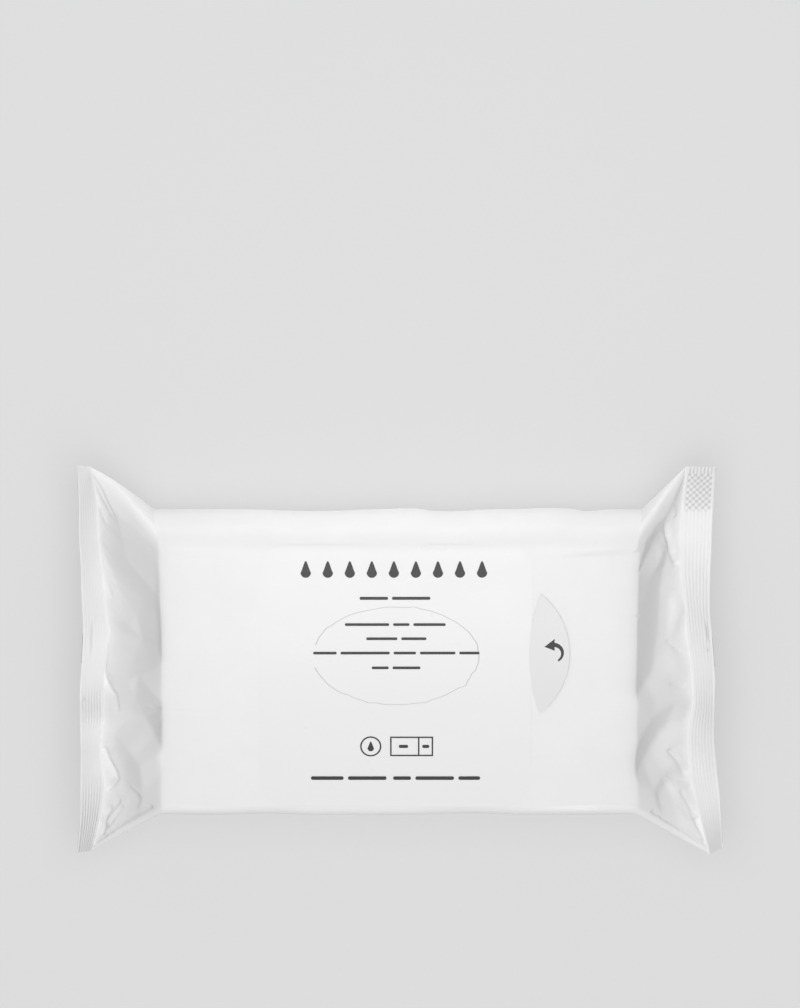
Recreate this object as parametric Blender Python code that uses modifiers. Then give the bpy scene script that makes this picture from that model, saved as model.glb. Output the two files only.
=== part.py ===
"""Flow-wrapped pack of wet wipes, lying on its back with the reseal label on top.

X runs along the pack between its two crimped end seals, +Y is the long side that the pack's
artwork treats as its top, and Z is up. The origin is on the table, below the middle of the pack.
"""

import math

import bmesh
import bpy
from mathutils import Vector

MM = 0.001

# Film pack: the sealed film with the stack of wipes inside
STACK_LENGTH = 170.6 * MM  # between the two end edges of the top face
BASE_SPREAD = 4.5 * MM  # below its top face the soft stack reaches this much further at each end
SPREAD_POWER = 4  # the spread is whole over most of the height and fades only near the top face
PACK_WIDTH = 108.0 * MM  # across the long sides
PACK_HEIGHT = 43.0 * MM  # from the table to the crown of the top face
FACE_CROWN = 2.2 * MM  # fall of the top face from its middle to the long edges
FACE_END_FALL = 1.4 * MM  # further fall of the top face towards each end
TOP_EDGE_RADIUS = 7.0 * MM  # long edges of the top face
BASE_EDGE_RADIUS = 9.0 * MM  # long edges of the base
SIDE_BULGE = 1.2 * MM  # the long sides swell by this much at mid height

# End seals: the film pressed flat, crimped and cut
END_REACH = 21.0 * MM  # from the stack's end to the inner line of the seal
CORNER_LOSS = 2.5 * MM  # what the rounded corners take off the width of the flattened film
SEAL_SPAN = PACK_WIDTH + PACK_HEIGHT - CORNER_LOSS
SEAL_WIDTH = 11.5 * MM
SEAL_THICKNESS = 0.8 * MM
SEAL_HEIGHT = 21.5 * MM  # of the seal's inner line above the table
SEAL_MARGIN = 1.0 * MM  # plain film inside and outside the crimps
CORNER_TUCK = 2.0 * MM  # film of the long edge, gathered into the seal's corner
RIDGE_BOW = 6.0 * MM  # the creases that run to the seal's corners bow inwards by this much
CRIMP_COUNT = 6
CRIMP_DEPTH = 0.22 * MM

# Back seam: a strip folded flat against the base
SEAM_WIDTH = 11.0 * MM
SEAM_THICKNESS = 0.5 * MM
SEAM_STEP = 0.4 * MM  # run of the step at each edge of the strip
SEAM_RAMP = 18.0 * MM  # beside the strip the film takes this far to come down to the table

# Reseal label on the top face, with its finger tab towards +X
LABEL_LENGTH = 100.0 * MM
LABEL_SIDE_MARGIN = 0.5 * MM  # from the label to where the face starts to round off
LABEL_WIDTH = PACK_WIDTH - 2 * TOP_EDGE_RADIUS - 2 * LABEL_SIDE_MARGIN
LABEL_MIDDLE_X = -1.0 * MM
LABEL_CORNER_RADIUS = 10.0 * MM
LABEL_THICKNESS = 0.3 * MM
LABEL_GAP = 0.3 * MM  # clearance between the label's solid and the film's
TAB_SPAN = 43.0 * MM  # along Y
TAB_REACH = 13.0 * MM  # beyond the label's straight end
TAB_MIDDLE_Y = 8.0 * MM

# Units of the three tables below, so that one value makes all of a kind stronger or weaker
WAVE = 1.0 * MM
FOLD = 1.0 * MM
DENT = 1.0 * MM

# Each seal's inner line at points across the pack, from -1 at the -Y corner to 1 at the +Y one:
# (place, shift outwards, lift, tilt in degrees that turns the outer edge up)
SEAL_WAVES = {
    -1: (
        (-1.00, 8.3 * WAVE, 0.0 * WAVE, 67.0),
        (-0.83, 5.1 * WAVE, 0.5 * WAVE, 53.0),
        (-0.62, 3.0 * WAVE, 1.5 * WAVE, 46.0),
        (-0.46, 4.4 * WAVE, -1.5 * WAVE, 58.0),
        (-0.25, 2.2 * WAVE, 0.5 * WAVE, 42.0),
        (-0.08, 3.5 * WAVE, 1.0 * WAVE, 51.0),
        (0.10, 0.8 * WAVE, -1.0 * WAVE, 37.0),
        (0.33, 2.0 * WAVE, 1.5 * WAVE, 48.0),
        (0.60, 3.9 * WAVE, -1.0 * WAVE, 55.0),
        (0.80, 4.4 * WAVE, 0.5 * WAVE, 59.0),
        (1.00, 6.8 * WAVE, -1.5 * WAVE, 72.0),
    ),
    1: (
        (-1.00, 10.0 * WAVE, 0.0 * WAVE, 78.0),
        (-0.87, 7.6 * WAVE, 1.0 * WAVE, 65.0),
        (-0.74, 5.0 * WAVE, 1.5 * WAVE, 49.0),
        (-0.55, 1.8 * WAVE, -1.0 * WAVE, 23.0),
        (-0.34, 1.8 * WAVE, -0.5 * WAVE, 43.0),
        (-0.16, 3.2 * WAVE, 1.0 * WAVE, 53.0),
        (0.14, 0.5 * WAVE, -0.5 * WAVE, 41.0),
        (0.30, -0.6 * WAVE, 0.5 * WAVE, 41.0),
        (0.55, -2.4 * WAVE, 1.0 * WAVE, 8.0),
        (0.80, -2.0 * WAVE, -0.5 * WAVE, 5.0),
        (1.00, -0.9 * WAVE, 0.0 * WAVE, 20.0),
    ),
}

# Folds pressed into the film between the stack and each seal. A fold runs between two points
# (share of the way out to the seal, place across the pack from -1 to 1), and then has its
# height outwards and how far it reaches towards +Y and -Y. A negative height is a hollow.
TOP_FOLDS = {
    -1: (
        ((0.05, 0.02), (0.90, 0.08), -3.2 * FOLD, 44.0 * FOLD, 10.0 * FOLD),
        ((1.00, -0.10), (0.05, -0.13), 1.8 * FOLD, 9.0 * FOLD, 16.0 * FOLD),
        ((0.75, -0.33), (0.00, -0.43), -2.8 * FOLD, 16.0 * FOLD, 9.0 * FOLD),
        ((1.00, -0.48), (0.00, -0.52), 1.8 * FOLD, 9.0 * FOLD, 12.0 * FOLD),
        ((1.00, -0.63), (0.30, -0.67), -2.2 * FOLD, 11.0 * FOLD, 7.0 * FOLD),
        ((0.95, -0.80), (0.50, -0.73), 1.6 * FOLD, 6.0 * FOLD, 7.0 * FOLD),
        ((1.00, -0.94), (0.55, -0.83), 1.0 * FOLD, 5.0 * FOLD, 5.0 * FOLD),
    ),
    1: (
        ((0.80, 0.66), (0.00, 0.46), 1.6 * FOLD, 8.0 * FOLD, 7.0 * FOLD),
        ((0.85, 0.60), (0.30, 0.34), -2.2 * FOLD, 8.0 * FOLD, 10.0 * FOLD),
        ((0.30, 0.34), (0.18, -0.12), -3.0 * FOLD, 10.0 * FOLD, 10.0 * FOLD),
        ((1.00, 0.28), (0.60, 0.18), 1.4 * FOLD, 7.0 * FOLD, 7.0 * FOLD),
        ((1.00, 0.12), (0.50, 0.08), -1.6 * FOLD, 8.0 * FOLD, 7.0 * FOLD),
        ((0.50, -0.13), (0.00, -0.20), 2.4 * FOLD, 9.0 * FOLD, 10.0 * FOLD),
        ((1.00, -0.18), (0.50, -0.13), 2.2 * FOLD, 9.0 * FOLD, 10.0 * FOLD),
        ((1.00, -0.31), (0.00, -0.55), -3.2 * FOLD, 14.0 * FOLD, 8.0 * FOLD),
        ((0.85, -0.45), (0.35, -0.68), 2.2 * FOLD, 9.0 * FOLD, 7.0 * FOLD),
        ((1.00, -0.60), (0.60, -0.61), -1.8 * FOLD, 6.0 * FOLD, 5.0 * FOLD),
        ((1.00, -0.92), (0.45, -0.78), 1.4 * FOLD, 6.0 * FOLD, 6.0 * FOLD),
    ),
}
BASE_FOLDS = {
    -1: (
        ((0.90, 0.55), (0.10, 0.35), -2.4 * FOLD, 13.0 * FOLD, 13.0 * FOLD),
        ((1.00, 0.15), (0.10, 0.05), 2.0 * FOLD, 10.0 * FOLD, 10.0 * FOLD),
        ((0.90, -0.20), (0.15, -0.35), -2.6 * FOLD, 12.0 * FOLD, 12.0 * FOLD),
        ((0.90, -0.60), (0.20, -0.55), 1.8 * FOLD, 9.0 * FOLD, 9.0 * FOLD),
    ),
    1: (
        ((0.90, 0.60), (0.15, 0.45), 1.8 * FOLD, 10.0 * FOLD, 10.0 * FOLD),
        ((0.90, 0.28), (0.15, 0.20), -2.4 * FOLD, 12.0 * FOLD, 12.0 * FOLD),
        ((1.00, -0.10), (0.10, -0.15), 2.0 * FOLD, 10.0 * FOLD, 10.0 * FOLD),
        ((0.90, -0.50), (0.10, -0.45), -2.6 * FOLD, 13.0 * FOLD, 13.0 * FOLD),
    ),
}

# Shallow dents along the long sides: (place along the pack from -1 to 1, side, depth, half width)
SIDE_DENTS = (
    (-0.35, 1, 0.7 * DENT, 24.0 * DENT),
    (0.06, 1, -0.6 * DENT, 9.0 * DENT),
    (0.20, 1, 0.8 * DENT, 16.0 * DENT),
    (0.62, 1, -0.5 * DENT, 13.0 * DENT),
    (0.78, 1, 0.8 * DENT, 7.0 * DENT),
    (-0.55, -1, 0.6 * DENT, 18.0 * DENT),
    (0.30, -1, 0.7 * DENT, 22.0 * DENT),
)

# How finely the film is drawn. The base has every second column of the top, so counts are even.
STEPS_BEFORE_SEAM = 18
STEPS_ON_SEAM = 2
STEPS_AFTER_SEAM = 16
BASE_COLUMN_STEP = 2
ARC_STEPS = 2
SIDE_STEPS = 3
SLOPE_SAMPLE = 0.5 * MM  # to each side of where a seal's direction is measured
BODY_STATIONS = 9
PANEL_STATIONS = 11
LABEL_CUTS = 8
TAB_STEPS = 12
CORNER_STEPS = 5

HALF_STACK = STACK_LENGTH / 2
HALF_WIDTH = PACK_WIDTH / 2
HALF_SPAN = SEAL_SPAN / 2


def clear_scene():
    for old in list(bpy.data.objects):
        bpy.data.objects.remove(old, do_unlink=True)


def new_collection(name):
    made = bpy.data.collections.new(name)
    bpy.context.scene.collection.children.link(made)
    return made


def plain_material(name, colour, roughness):
    """A Principled surface of one colour, roughness and no metal."""
    made = bpy.data.materials.new(name)
    made.use_nodes = True
    shader = made.node_tree.nodes["Principled BSDF"]
    shader.inputs["Base Color"].default_value = (*colour, 1.0)
    shader.inputs["Roughness"].default_value = roughness
    shader.inputs["Metallic"].default_value = 0.0
    return made


def mesh_object(name, shape, material, collection):
    """The bmesh as a named object in the collection. The bmesh is freed."""
    mesh = bpy.data.meshes.new(name)
    shape.to_mesh(mesh)
    shape.free()
    mesh.materials.append(material)
    made = bpy.data.objects.new(name, mesh)
    collection.objects.link(made)
    return made


def smooth_through(keys, place):
    """The values at place on smooth curves through keys, which are (place, value, value, ...)."""
    if place <= keys[0][0]:
        return keys[0][1:]
    if place >= keys[-1][0]:
        return keys[-1][1:]
    after = next(i for i, key in enumerate(keys) if key[0] >= place)
    before = after - 1
    start, end = keys[before], keys[after]
    earlier, later = keys[max(before - 1, 0)], keys[min(after + 1, len(keys) - 1)]
    run = end[0] - start[0]
    t = (place - start[0]) / run
    values = []
    for i in range(1, len(start)):
        slope_in = (end[i] - earlier[i]) / (end[0] - earlier[0]) * run
        slope_out = (later[i] - start[i]) / (later[0] - start[0]) * run
        values.append(
            (2 * t**3 - 3 * t**2 + 1) * start[i]
            + (t**3 - 2 * t**2 + t) * slope_in
            + (3 * t**2 - 2 * t**3) * end[i]
            + (t**3 - t**2) * slope_out
        )
    return values


def film_columns():
    """Lines of film that run the length of the pack, as (y on the stack, y in the seal).

    The top uses them all. They are close together over the edges of the base's folded seam.
    """
    flat_half = HALF_WIDTH - BASE_EDGE_RADIUS
    seal_half = HALF_SPAN - CORNER_TUCK
    stretches = (
        (-flat_half, -SEAM_STEP, -seal_half, -SEAM_STEP, STEPS_BEFORE_SEAM),
        (-SEAM_STEP, 0.0, -SEAM_STEP, 0.0, 1),
        (0.0, SEAM_WIDTH, 0.0, SEAM_WIDTH, STEPS_ON_SEAM),
        (SEAM_WIDTH, SEAM_WIDTH + SEAM_STEP, SEAM_WIDTH, SEAM_WIDTH + SEAM_STEP, 1),
        (SEAM_WIDTH + SEAM_STEP, flat_half, SEAM_WIDTH + SEAM_STEP, seal_half, STEPS_AFTER_SEAM),
    )
    columns = [(-flat_half, -seal_half)]
    for start, end, seal_start, seal_end, count in stretches:
        for i in range(1, count + 1):
            share = i / count
            columns.append(
                (start + (end - start) * share, seal_start + (seal_end - seal_start) * share)
            )
    return columns


def base_columns():
    """The columns that the base uses: every second one, and all that stand by the folded seam."""
    columns = film_columns()
    kept = []
    for i, (y, seal_y) in enumerate(columns):
        by_seam = -SEAM_STEP - 1e-9 <= y <= SEAM_WIDTH + SEAM_STEP + 1e-9
        if by_seam or (len(columns) - 1 - i if y > 0 else i) % BASE_COLUMN_STEP == 0:
            kept.append(i)
    return kept


def top_height(x, y):
    """Height of the crowned top face above the table."""
    across = y / (HALF_WIDTH - TOP_EDGE_RADIUS)
    along = min(1.0, abs(x) / HALF_STACK)
    return PACK_HEIGHT - FACE_CROWN * across**2 - FACE_END_FALL * along**4


def base_height(y):
    """Height of the base: on the table, except beside the folded seam, which it rides over."""
    beside = max(-SEAM_STEP - y, y - SEAM_WIDTH - SEAM_STEP)
    if beside < -1e-9:
        return 0.0
    return SEAM_THICKNESS * max(0.0, 1.0 - beside / SEAM_RAMP) ** 2


def side_shift(x, side, height_share):
    """How far a long side stands out of its plane: the swell at mid height, less its dents."""
    shift = SIDE_BULGE * (1.0 - (2.0 * height_share - 1.0) ** 2)
    for place, dent_side, depth, half_width in SIDE_DENTS:
        away = abs(x - place * HALF_STACK) / half_width
        if dent_side == side and away < 1.0:
            shift -= depth * (1.0 - away**2) ** 2
    return shift


def long_side(x, side):
    """Points down one long side at x, from the top face's edge to the base's, both left out."""
    edge_height = top_height(x, HALF_WIDTH - TOP_EDGE_RADIUS)
    upper = edge_height - TOP_EDGE_RADIUS
    points = []
    for i in range(1, ARC_STEPS + 1):
        angle = math.pi / 2 * (1 - i / ARC_STEPS)
        y = HALF_WIDTH - TOP_EDGE_RADIUS + TOP_EDGE_RADIUS * math.cos(angle)
        points.append((y, upper + TOP_EDGE_RADIUS * math.sin(angle)))
    for i in range(1, SIDE_STEPS + 1):
        points.append((HALF_WIDTH, upper + (BASE_EDGE_RADIUS - upper) * i / SIDE_STEPS))
    for i in range(1, ARC_STEPS):
        angle = math.pi / 2 * i / ARC_STEPS
        y = HALF_WIDTH - BASE_EDGE_RADIUS + BASE_EDGE_RADIUS * math.cos(angle)
        points.append((y, BASE_EDGE_RADIUS - BASE_EDGE_RADIUS * math.sin(angle)))
    return [(side * (y + side_shift(x, side, z / edge_height)), z) for y, z in points]


def body_loop(x):
    """The film round the stack at x: over the top face, down +Y, under the base and up -Y."""
    columns = film_columns()
    widen = (HALF_WIDTH - TOP_EDGE_RADIUS) / (HALF_WIDTH - BASE_EDGE_RADIUS)
    loop = [(y * widen, top_height(x, y * widen)) for y, _ in columns]
    loop += long_side(x, 1)
    loop += [(columns[i][0], base_height(columns[i][0])) for i in reversed(base_columns())]
    loop += reversed(long_side(x, -1))
    spread = BASE_SPREAD / HALF_STACK
    return [
        Vector((x * (1.0 + spread * (1.0 - (z / PACK_HEIGHT) ** SPREAD_POWER)), y, z))
        for y, z in loop
    ]


def seal_loop(end, outwards):
    """The film pressed flat in a seal, outwards of its inner line, in body_loop's order."""
    columns = [y for _, y in film_columns()]
    edge = []
    for i in range(1, ARC_STEPS + 1):
        edge.append((HALF_SPAN - CORNER_TUCK * (1 - i / ARC_STEPS), 1.0))
    for i in range(1, SIDE_STEPS + 1):
        edge.append((HALF_SPAN, 1.0 - 2.0 * i / SIDE_STEPS))
    for i in range(1, ARC_STEPS):
        edge.append((HALF_SPAN - CORNER_TUCK * i / ARC_STEPS, -1.0))
    loop = [(y, 1.0) for y in columns]
    loop += edge
    loop += [(columns[i], -1.0) for i in reversed(base_columns())]
    loop += [(-y, layer) for y, layer in reversed(edge)]
    return [seal_point(end, y, layer, outwards) for y, layer in loop]


def crimp_height(outwards):
    """Offset of the crimped film from the seal's plane: a zigzag between the two plain margins."""
    crimped = SEAL_WIDTH - 2 * SEAL_MARGIN
    along = (outwards - SEAL_MARGIN) / crimped
    if along <= 0.0 or along >= 1.0:
        return 0.0
    phase = along * CRIMP_COUNT % 1.0
    return CRIMP_DEPTH * (1.0 - abs(4.0 * abs(phase - 0.5) - 1.0)) * (1 if phase < 0.5 else -1)


def seal_line(end, y):
    """A point on a seal's inner line, at mid thickness, and the seal's tilt there in radians."""
    reach, lift, tilt = smooth_through(SEAL_WAVES[end], y / HALF_SPAN)
    point = Vector((end * (HALF_STACK + END_REACH + reach), y, SEAL_HEIGHT + lift))
    return point, math.radians(tilt)


def seal_point(end, y, layer, outwards):
    """A point of a seal. Layer is 1 on its upper face and -1 on its lower one."""
    point, tilt = seal_line(end, y)
    ahead = seal_line(end, y + SLOPE_SAMPLE)[0]
    behind = seal_line(end, y - SLOPE_SAMPLE)[0]
    along = (ahead - behind).normalized()
    flat_out = Vector((end, 0.0, 0.0))
    flat_out = (flat_out - along * along.dot(flat_out)).normalized()
    flat_up = flat_out.cross(along) * end
    out = flat_out * math.cos(tilt) + flat_up * math.sin(tilt)
    above = flat_up * math.cos(tilt) - flat_out * math.sin(tilt)
    thickness = SEAL_THICKNESS / 2
    if layer < 0 and 0.0 <= y <= SEAM_WIDTH:
        thickness += SEAM_THICKNESS / 2
    return point + out * outwards + above * (layer * thickness + crimp_height(outwards))


def fold_relief(folds, share, place):
    """Height of the folds outwards of the flat panel, at a share of the way to the seal."""
    panel_length = math.hypot(END_REACH, PACK_HEIGHT / 2)
    here = Vector((share * panel_length, place * HALF_SPAN))
    relief = 0.0
    for start, end, height, reach_up, reach_down in folds:
        a = Vector((start[0] * panel_length, start[1] * HALF_SPAN))
        b = Vector((end[0] * panel_length, end[1] * HALF_SPAN))
        along = max(0.0, min(1.0, (here - a).dot(b - a) / (b - a).length_squared))
        aside = here - a - (b - a) * along
        away = aside.length / (reach_up if aside.y > 0 else reach_down)
        if away < 1.0:
            relief += height * (1.0 - away) * (1.0 - away * away / 2)
    fade = min(1.0, share / 0.12, (1.0 - share) / 0.15, (1.0 - abs(place)) / 0.12)
    return relief * max(0.0, fade)


def panel_loop(end, share):
    """The film between the stack's end and the seal, a share of the way out."""
    inner = body_loop(end * HALF_STACK)
    outer = seal_loop(end, 0.0)
    top_count = len(film_columns())
    side_count = len(long_side(0.0, 1))
    base_count = len(base_columns())
    slope = math.atan2(PACK_HEIGHT / 2, END_REACH)
    upward = Vector((end * math.sin(slope), 0.0, math.cos(slope)))
    downward = Vector((end * math.sin(slope), 0.0, -math.cos(slope)))
    bow = 27.0 / 4.0 * share**2 * (1.0 - share) * RIDGE_BOW
    loop = []
    for i, (near, far) in enumerate(zip(inner, outer)):
        point = near.lerp(far, share)
        place = far.y / HALF_SPAN
        on_base = 0 <= i - top_count - side_count < base_count
        if i < top_count:
            point += upward * fold_relief(TOP_FOLDS[end], share, place)
        if on_base:
            point += downward * fold_relief(BASE_FOLDS[end], share, place)
        if i < top_count or on_base:
            edge_share = place**4
        else:
            down = ((i - top_count) % (side_count + base_count) + 1) / (side_count + 1)
            edge_share = (2.0 * down - 1.0) ** 2
        point.y -= math.copysign(bow * edge_share, place)
        loop.append(point)
    return loop


def film_loops():
    """Every loop of film points, from the outer edge of the -X seal to that of the +X one."""
    crimped = SEAL_WIDTH - 2 * SEAL_MARGIN
    pitch = crimped / CRIMP_COUNT
    seal_places = [0.0, SEAL_MARGIN]
    for i in range(CRIMP_COUNT):
        seal_places += [SEAL_MARGIN + (i + 0.25) * pitch, SEAL_MARGIN + (i + 0.75) * pitch]
    seal_places += [SEAL_WIDTH - SEAL_MARGIN, SEAL_WIDTH]
    panel_shares = [i / PANEL_STATIONS for i in range(1, PANEL_STATIONS)]
    panel_shares.insert(0, panel_shares[0] / 3)
    half = {}
    for end in (-1, 1):
        half[end] = [panel_loop(end, share) for share in panel_shares]
        half[end] += [seal_loop(end, place) for place in seal_places]
    body = []
    for i in range(BODY_STATIONS + 1):
        share = 2.0 * i / BODY_STATIONS - 1.0
        body.append(body_loop(HALF_STACK * math.sin(share * math.pi / 2)))
    return half[-1][::-1] + body + half[1]


def close_seal(shape, row):
    """Shuts the film at a seal's cut edge, by faces from its upper row of points to its lower one."""
    top_count = len(film_columns())
    side_count = len(long_side(0.0, 1))
    kept = base_columns()
    upper = row[:top_count]
    lower = row[top_count + side_count : top_count + side_count + len(kept)][::-1]
    for i in range(len(kept) - 1):
        shape.faces.new([*upper[kept[i] : kept[i + 1] + 1], lower[i + 1], lower[i]])
    shape.faces.new([upper[-1], *row[top_count : top_count + side_count], lower[-1]])
    shape.faces.new([lower[0], *row[top_count + side_count + len(kept) :], upper[0]])


def build_film_pack(material, collection):
    """The sealed film as one closed solid: a loft through unlike loops, shut along both seals."""
    shape = bmesh.new()
    rows = [[shape.verts.new(point) for point in loop] for loop in film_loops()]
    count = len(rows[0])
    for row, following in zip(rows, rows[1:]):
        for i in range(count):
            j = (i + 1) % count
            shape.faces.new((row[i], following[i], following[j], row[j]))
    close_seal(shape, rows[0])
    close_seal(shape, rows[-1])
    bmesh.ops.recalc_face_normals(shape, faces=shape.faces)
    pack = mesh_object("film_pack", shape, material, collection)
    pack.data.shade_smooth()
    pack.data.set_sharp_from_angle(angle=math.radians(35))
    return pack


def label_outline():
    """The label's edge, counter-clockwise from above: a rounded rectangle with a bowed finger tab."""
    left = LABEL_MIDDLE_X - LABEL_LENGTH / 2
    right = LABEL_MIDDLE_X + LABEL_LENGTH / 2
    half = LABEL_WIDTH / 2
    radius = LABEL_CORNER_RADIUS
    points = []

    def corner(x, y, start):
        for i in range(CORNER_STEPS + 1):
            angle = math.radians(start + 90.0 * i / CORNER_STEPS)
            points.append((x + radius * math.cos(angle), y + radius * math.sin(angle)))

    corner(left + radius, -half + radius, 180.0)
    corner(right - radius, -half + radius, 270.0)
    bow_radius = (TAB_SPAN**2 / 4 + TAB_REACH**2) / (2 * TAB_REACH)
    swing = math.asin(TAB_SPAN / 2 / bow_radius)
    if TAB_REACH > TAB_SPAN / 2:
        swing = math.pi - swing
    for i in range(TAB_STEPS + 1):
        angle = swing * (2.0 * i / TAB_STEPS - 1.0)
        x = right + TAB_REACH - bow_radius + bow_radius * math.cos(angle)
        points.append((x, TAB_MIDDLE_Y + bow_radius * math.sin(angle)))
    corner(right - radius, half - radius, 0.0)
    corner(left + radius, half - radius, 90.0)
    return points


def build_reseal_label(material, collection):
    """The label's outline as one sheet, cut so that it can follow the crowned face, then thickened."""
    shape = bmesh.new()
    shape.faces.new([shape.verts.new((x, y, 0.0)) for x, y in label_outline()])
    for axis, length in ((0, LABEL_LENGTH + 2 * TAB_REACH), (1, LABEL_WIDTH)):
        for i in range(1, LABEL_CUTS):
            place = Vector((LABEL_MIDDLE_X, 0.0, 0.0))
            place[axis] += length * (i / LABEL_CUTS - 0.5)
            direction = Vector((0.0, 0.0, 0.0))
            direction[axis] = 1.0
            every = shape.verts[:] + shape.edges[:] + shape.faces[:]
            bmesh.ops.bisect_plane(shape, geom=every, plane_co=place, plane_no=direction, dist=1e-6)
    for vert in shape.verts:
        vert.co.z = top_height(vert.co.x, vert.co.y) + LABEL_GAP
    bmesh.ops.triangulate(shape, faces=shape.faces)
    bmesh.ops.recalc_face_normals(shape, faces=shape.faces)
    if sum(face.normal.z for face in shape.faces) < 0:
        bmesh.ops.reverse_faces(shape, faces=shape.faces)
    label = mesh_object("reseal_label", shape, material, collection)
    wall = label.modifiers.new("Label thickness", "SOLIDIFY")
    wall.thickness = LABEL_THICKNESS
    wall.offset = 1.0
    return label


def build():
    clear_scene()
    collection = new_collection("wet_wipes_pack")
    film = plain_material("white_film", (0.86, 0.86, 0.86), 0.38)
    label = plain_material("clear_label", (0.84, 0.84, 0.85), 0.25)
    build_film_pack(film, collection)
    build_reseal_label(label, collection)


build()
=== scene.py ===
import math

import bmesh
import bpy
import numpy as np
from mathutils import Matrix, Vector, noise
from mathutils.geometry import delaunay_2d_cdt


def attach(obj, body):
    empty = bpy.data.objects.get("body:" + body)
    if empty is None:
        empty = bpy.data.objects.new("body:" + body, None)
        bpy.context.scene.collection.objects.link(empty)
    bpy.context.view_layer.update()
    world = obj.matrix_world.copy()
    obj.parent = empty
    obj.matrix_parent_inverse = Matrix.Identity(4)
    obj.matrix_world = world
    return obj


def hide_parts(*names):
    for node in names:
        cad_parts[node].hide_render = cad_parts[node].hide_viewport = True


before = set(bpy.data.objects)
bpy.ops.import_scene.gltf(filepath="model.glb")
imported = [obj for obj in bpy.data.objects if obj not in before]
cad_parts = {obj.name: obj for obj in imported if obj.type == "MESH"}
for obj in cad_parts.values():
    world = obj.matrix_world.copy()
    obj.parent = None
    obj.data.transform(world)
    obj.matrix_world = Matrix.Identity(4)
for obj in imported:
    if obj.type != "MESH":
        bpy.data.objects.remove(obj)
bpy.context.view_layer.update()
mm = 0.001

# The pack's outer shape in millimetres. X is along the pack, +Y the artwork's top side, Z up.
pack = {
    "stackHalf": 85.3,  # from the middle to each end edge of the top face
    "spread": 4.5,  # the soft stack reaches this much further below its top face
    "spreadPower": 4,
    "halfWidth": 54.0,
    "height": 43.0,
    "crown": 2.2,  # fall of the top face from its middle to 47 mm out
    "crownHalf": 47.0,
    "endFall": 1.4,  # and from its middle to its ends
    "topRadius": {1: 10.0, -1: 4.0},  # the long edges at +Y and -Y
    "shoulder": {1: (66.0, 2.2), -1: (75.0, 1.0)},  # the face droops from this far out, by this much
    "baseRadius": 9.0,
    "bulge": 1.2,  # swell of the long sides
    "seamWidth": 11.0,  # the back seam, folded flat under the pack
    "seamThick": 0.5,
    "seamStep": 0.4,
    "seamRamp": 18.0,
}
baseFlat = pack["halfWidth"] - pack["baseRadius"]

# Shallow dents along the long sides: (x, side, depth, half width)
sideDents = (
    (-29.9, 1, 0.7, 24.0), (5.1, 1, -0.6, 9.0), (17.1, 1, 0.8, 16.0), (52.9, 1, -0.5, 13.0),
    (66.5, 1, 0.8, 7.0), (-46.9, -1, 0.6, 18.0), (25.6, -1, 0.7, 22.0),
)

# The two crimped end seals
seal = {
    "reach": 21.0,  # from the stack's end to the seal's inner line
    "halfSpan": 74.25,
    "cornerTuck": 2.0,
    "width": 11.5,
    "thick": 0.5,
    "height": 21.5,
    "margin": 0.8,
    "crimps": 7,
    "crimpDepth": 0.16,
}
sealFlat = seal["halfSpan"] - seal["cornerTuck"]

# Inner line of each seal: (place across from -1 to 1, shift outwards, lift, tilt in degrees, and how far
# the cut edge slides towards +Y)
sealWaves = {
    -1: (
        (-1.00, 8.3, -3.2, 67.0, 2.6), (-0.83, 5.1, -1.4, 56.0, 2.0), (-0.62, 3.0, 1.6, 46.0, 1.5),
        (-0.46, 4.4, -0.6, 56.0, 1.5), (-0.31, 3.0, -2.6, 46.0, 1.0), (-0.15, 2.6, 1.6, 45.0, 1.0),
        (0.04, 1.4, -2.8, 42.0, 1.0), (0.18, 0.9, -2.6, 42.0, 1.0), (0.33, 2.0, -2.2, 48.0, 1.0),
        (0.49, 3.3, -5.2, 54.0, 1.5), (0.65, 4.1, -4.6, 56.0, 2.0), (0.80, 4.4, -3.4, 59.0, 2.4),
        (1.00, 6.8, 0.0, 72.0, 3.0),
    ),
    1: (
        (-1.00, 10.0, 2.4, 70.0, 6.5), (-0.87, 7.6, 1.6, 60.0, 3.5), (-0.74, 5.0, -0.6, 46.0, 1.0),
        (-0.58, 2.2, -1.6, 32.0, 0.0), (-0.34, 1.8, -0.9, 43.0, 0.0), (-0.20, 3.2, 0.6, 53.0, 0.0),
        (-0.08, 2.6, -1.0, 48.0, 0.0), (0.14, 0.5, -2.4, 41.0, 0.0), (0.30, -0.6, -2.2, 41.0, 0.0),
        (0.45, -2.0, -1.6, 28.0, 0.0), (0.60, -2.4, -1.0, 16.0, 0.3), (0.80, -2.0, -3.2, 12.0, 0.6),
        (1.00, -0.9, 0.2, 26.0, 1.0),
    ),
}

# How strongly the crimps show across each seal: (place, strength)
crimpStrength = {
    -1: ((-1.0, 2.6), (-0.86, 1.8), (-0.66, 0.8), (-0.55, 0.1), (-0.36, 0.1), (-0.28, 0.9), (-0.19, 0.8),
         (-0.1, 0.1), (0.2, 0.2), (0.45, 0.1), (0.7, 0.2), (1.0, 0.3)),
    1: ((-1.0, 0.3), (-0.75, 0.2), (-0.5, 0.5), (-0.2, 0.8), (0.0, 0.3), (0.15, 0.7),
        (0.45, 0.6), (0.6, 0.3), (0.76, 0.4), (0.84, 1.2), (1.0, 1.4)),
}

# The jaw's cross-hatched patch near the +X seal's +Y end: where it runs in y, its pitch and depth, and
# how much painted shade it adds across the patch
knurl = {"from": 56.0, "to": 71.5, "pitch": 2.4, "depth": 0.2, "clear": 0.16}

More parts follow.
